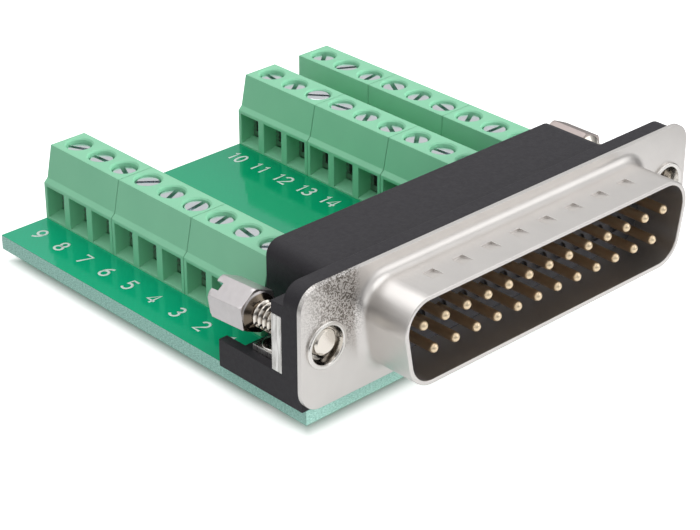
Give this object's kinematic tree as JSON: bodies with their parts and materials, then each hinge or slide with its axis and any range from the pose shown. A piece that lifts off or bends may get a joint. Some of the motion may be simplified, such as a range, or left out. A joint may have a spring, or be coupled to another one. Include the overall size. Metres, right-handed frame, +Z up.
{
  "type": "d-sub terminal block adapter",
  "caption": "Board-mounted D-shaped plug whose contacts are broken out to rows of screw terminals, with captive hex jackscrews at both ends of the plug.",
  "frame": {"origin": "centre of the bounding box at the level of the solder tails' tips, on which the part stands", "axes": "+X to the right for somebody looking into the plug, -Y the way the plug points, +Z up, square to the board"},
  "size_m": [0.053, 0.0534, 0.0156],
  "materials": {
    "board_laminate": "glossy solder mask",
    "plated_shell": "satin nickel plate",
    "black_moulding": "satin",
    "gilt_contact": "flash gold plate",
    "plated_fastener": "bright nickel plate",
    "bracket_plate": "plated",
    "solder": "bright",
    "green_moulding": "satin",
    "tinned_clamp": "tin plate",
    "clamp_screw": "zinc plate"
  },
  "bodies": {
    "adapter": {"board": "board_laminate", "plug_shell": "plated_shell", "plug_insulator": "black_moulding", "upper_pins": "gilt_contact", "lower_pins": "gilt_contact", "foot_rivets": "plated_fastener", "solder_joints": "solder", "left_bracket": "bracket_plate", "left_eyelet": "plated_fastener", "right_bracket": "bracket_plate", "right_eyelet": "plated_fastener", "left_housing_1": "green_moulding", "left_clamps_1": "tinned_clamp", "left_housing_2": "green_moulding", "left_clamps_2": "tinned_clamp", "left_housing_3": "green_moulding", "left_clamps_3": "tinned_clamp", "centre_housing_1": "green_moulding", "centre_clamps_1": "tinned_clamp", "centre_housing_2": "green_moulding", "centre_clamps_2": "tinned_clamp", "centre_housing_3": "green_moulding", "centre_clamps_3": "tinned_clamp", "right_housing_1": "green_moulding", "right_clamps_1": "tinned_clamp", "right_housing_2": "green_moulding", "right_clamps_2": "tinned_clamp", "right_housing_3": "green_moulding", "right_clamps_3": "tinned_clamp"},
    "left_screw_1": {"left_screw_1": "clamp_screw"},
    "left_screw_2": {"left_screw_2": "clamp_screw"},
    "left_screw_3": {"left_screw_3": "clamp_screw"},
    "left_screw_4": {"left_screw_4": "clamp_screw"},
    "left_screw_5": {"left_screw_5": "clamp_screw"},
    "left_screw_6": {"left_screw_6": "clamp_screw"},
    "left_screw_7": {"left_screw_7": "clamp_screw"},
    "left_screw_8": {"left_screw_8": "clamp_screw"},
    "left_screw_9": {"left_screw_9": "clamp_screw"},
    "centre_screw_1": {"centre_screw_1": "clamp_screw"},
    "centre_screw_2": {"centre_screw_2": "clamp_screw"},
    "centre_screw_3": {"centre_screw_3": "clamp_screw"},
    "centre_screw_4": {"centre_screw_4": "clamp_screw"},
    "centre_screw_5": {"centre_screw_5": "clamp_screw"},
    "centre_screw_6": {"centre_screw_6": "clamp_screw"},
    "centre_screw_7": {"centre_screw_7": "clamp_screw"},
    "centre_screw_8": {"centre_screw_8": "clamp_screw"},
    "centre_screw_9": {"centre_screw_9": "clamp_screw"},
    "right_screw_1": {"right_screw_1": "clamp_screw"},
    "right_screw_2": {"right_screw_2": "clamp_screw"},
    "right_screw_3": {"right_screw_3": "clamp_screw"},
    "right_screw_4": {"right_screw_4": "clamp_screw"},
    "right_screw_5": {"right_screw_5": "clamp_screw"},
    "right_screw_6": {"right_screw_6": "clamp_screw"},
    "right_screw_7": {"right_screw_7": "clamp_screw"},
    "right_screw_8": {"right_screw_8": "clamp_screw"},
    "right_screw_9": {"right_screw_9": "clamp_screw"},
    "left_jackscrew": {"left_jackscrew": "plated_fastener"},
    "right_jackscrew": {"right_jackscrew": "plated_fastener"}
  },
  "joints": [
    {"name": "left_screw_1_turn", "type": "hinge", "parent": "adapter", "child": "left_screw_1", "pos_m": [-0.01635, -0.00571, 0.01115], "axis": [0, 0, -1], "range_deg": [0, 1800]},
    {"name": "left_screw_2_turn", "type": "hinge", "parent": "adapter", "child": "left_screw_2", "pos_m": [-0.01635, -0.00189, 0.01115], "axis": [0, 0, -1], "range_deg": [0, 1800]},
    {"name": "left_screw_3_turn", "type": "hinge", "parent": "adapter", "child": "left_screw_3", "pos_m": [-0.01635, 0.00192, 0.01115], "axis": [0, 0, -1], "range_deg": [0, 1800]},
    {"name": "left_screw_4_turn", "type": "hinge", "parent": "adapter", "child": "left_screw_4", "pos_m": [-0.01635, 0.00573, 0.01115], "axis": [0, 0, -1], "range_deg": [0, 1800]},
    {"name": "left_screw_5_turn", "type": "hinge", "parent": "adapter", "child": "left_screw_5", "pos_m": [-0.01635, 0.00954, 0.01115], "axis": [0, 0, -1], "range_deg": [0, 1800]},
    {"name": "left_screw_6_turn", "type": "hinge", "parent": "adapter", "child": "left_screw_6", "pos_m": [-0.01635, 0.01334, 0.01115], "axis": [0, 0, -1], "range_deg": [0, 1800]},
    {"name": "left_screw_7_turn", "type": "hinge", "parent": "adapter", "child": "left_screw_7", "pos_m": [-0.01635, 0.01716, 0.01115], "axis": [0, 0, -1], "range_deg": [0, 1800]},
    {"name": "left_screw_8_turn", "type": "hinge", "parent": "adapter", "child": "left_screw_8", "pos_m": [-0.01635, 0.02097, 0.01115], "axis": [0, 0, -1], "range_deg": [0, 1800]},
    {"name": "left_screw_9_turn", "type": "hinge", "parent": "adapter", "child": "left_screw_9", "pos_m": [-0.01635, 0.02477, 0.01115], "axis": [0, 0, -1], "range_deg": [0, 1800]},
    {"name": "centre_screw_1_turn", "type": "hinge", "parent": "adapter", "child": "centre_screw_1", "pos_m": [0.0104, -0.00571, 0.01115], "axis": [0, 0, -1], "range_deg": [0, 1800]},
    {"name": "centre_screw_2_turn", "type": "hinge", "parent": "adapter", "child": "centre_screw_2", "pos_m": [0.0104, -0.00189, 0.01115], "axis": [0, 0, -1], "range_deg": [0, 1800]},
    {"name": "centre_screw_3_turn", "type": "hinge", "parent": "adapter", "child": "centre_screw_3", "pos_m": [0.0104, 0.00192, 0.01115], "axis": [0, 0, -1], "range_deg": [0, 1800]},
    {"name": "centre_screw_4_turn", "type": "hinge", "parent": "adapter", "child": "centre_screw_4", "pos_m": [0.0104, 0.00573, 0.01115], "axis": [0, 0, -1], "range_deg": [0, 1800]},
    {"name": "centre_screw_5_turn", "type": "hinge", "parent": "adapter", "child": "centre_screw_5", "pos_m": [0.0104, 0.00954, 0.01115], "axis": [0, 0, -1], "range_deg": [0, 1800]},
    {"name": "centre_screw_6_turn", "type": "hinge", "parent": "adapter", "child": "centre_screw_6", "pos_m": [0.0104, 0.01334, 0.01115], "axis": [0, 0, -1], "range_deg": [0, 1800]},
    {"name": "centre_screw_7_turn", "type": "hinge", "parent": "adapter", "child": "centre_screw_7", "pos_m": [0.0104, 0.01716, 0.01115], "axis": [0, 0, -1], "range_deg": [0, 1800]},
    {"name": "centre_screw_8_turn", "type": "hinge", "parent": "adapter", "child": "centre_screw_8", "pos_m": [0.0104, 0.02097, 0.01115], "axis": [0, 0, -1], "range_deg": [0, 1800]},
    {"name": "centre_screw_9_turn", "type": "hinge", "parent": "adapter", "child": "centre_screw_9", "pos_m": [0.0104, 0.02477, 0.01115], "axis": [0, 0, -1], "range_deg": [0, 1800]},
    {"name": "right_screw_1_turn", "type": "hinge", "parent": "adapter", "child": "right_screw_1", "pos_m": [0.01825, -0.00571, 0.01115], "axis": [0, 0, -1], "range_deg": [0, 1800]},
    {"name": "right_screw_2_turn", "type": "hinge", "parent": "adapter", "child": "right_screw_2", "pos_m": [0.01825, -0.00189, 0.01115], "axis": [0, 0, -1], "range_deg": [0, 1800]},
    {"name": "right_screw_3_turn", "type": "hinge", "parent": "adapter", "child": "right_screw_3", "pos_m": [0.01825, 0.00192, 0.01115], "axis": [0, 0, -1], "range_deg": [0, 1800]},
    {"name": "right_screw_4_turn", "type": "hinge", "parent": "adapter", "child": "right_screw_4", "pos_m": [0.01825, 0.00573, 0.01115], "axis": [0, 0, -1], "range_deg": [0, 1800]},
    {"name": "right_screw_5_turn", "type": "hinge", "parent": "adapter", "child": "right_screw_5", "pos_m": [0.01825, 0.00954, 0.01115], "axis": [0, 0, -1], "range_deg": [0, 1800]},
    {"name": "right_screw_6_turn", "type": "hinge", "parent": "adapter", "child": "right_screw_6", "pos_m": [0.01825, 0.01334, 0.01115], "axis": [0, 0, -1], "range_deg": [0, 1800]},
    {"name": "right_screw_7_turn", "type": "hinge", "parent": "adapter", "child": "right_screw_7", "pos_m": [0.01825, 0.01716, 0.01115], "axis": [0, 0, -1], "range_deg": [0, 1800]},
    {"name": "right_screw_8_turn", "type": "hinge", "parent": "adapter", "child": "right_screw_8", "pos_m": [0.01825, 0.02097, 0.01115], "axis": [0, 0, -1], "range_deg": [0, 1800]},
    {"name": "right_screw_9_turn", "type": "hinge", "parent": "adapter", "child": "right_screw_9", "pos_m": [0.01825, 0.02477, 0.01115], "axis": [0, 0, -1], "range_deg": [0, 1800]},
    {"name": "left_jackscrew_advance", "type": "slide", "parent": "adapter", "child": "left_jackscrew", "axis": [0, -0.998, 0.0628], "range_m": [0, 0.0035]},
    {"name": "right_jackscrew_advance", "type": "slide", "parent": "adapter", "child": "right_jackscrew", "axis": [0, -1, 0], "range_m": [0, 0.0049]}
  ]
}
